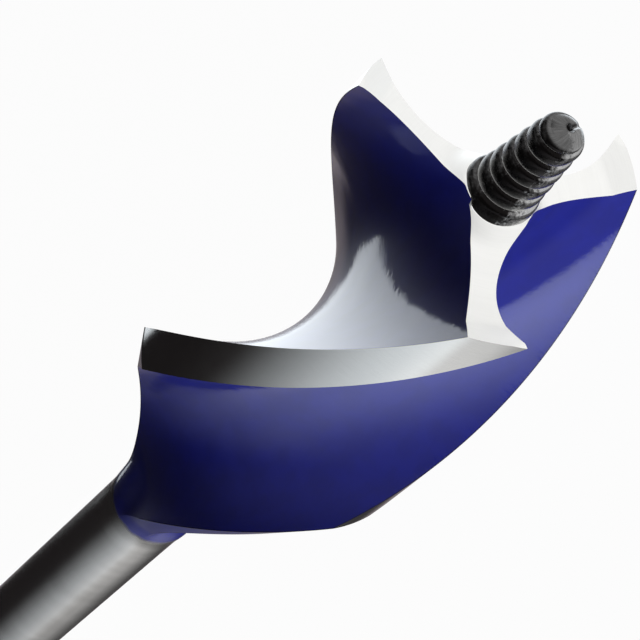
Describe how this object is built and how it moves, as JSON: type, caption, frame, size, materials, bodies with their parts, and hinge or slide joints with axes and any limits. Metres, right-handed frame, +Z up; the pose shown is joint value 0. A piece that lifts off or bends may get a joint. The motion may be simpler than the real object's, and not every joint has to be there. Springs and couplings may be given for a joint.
{
  "type": "auger bit",
  "caption": "Wood auger bit with three twisted flutes, ground flanks and rim spurs, a lead screw point and a hexagonal quick-change shank.",
  "frame": {"origin": "middle of the part's box at the level of the surface it lies on", "axes": "+Z up with the bit lying on its side, +X towards the screw point, with the bit's own axis rising 3.9 degrees towards the point"},
  "size_m": [0.1522, 0.0254, 0.0244],
  "materials": {
    "tool_steel": "satin ground steel",
    "blue_coating": "glossy deep blue coating in the flutes and on the taper",
    "ground_steel": "bare steel with fine grinding lines on the flanks, spurs and lands",
    "dark_steel": "dark hardened steel on the lead screw"
  },
  "bodies": {
    "root": {"auger_bit": "tool_steel"}
  },
  "joints": []
}
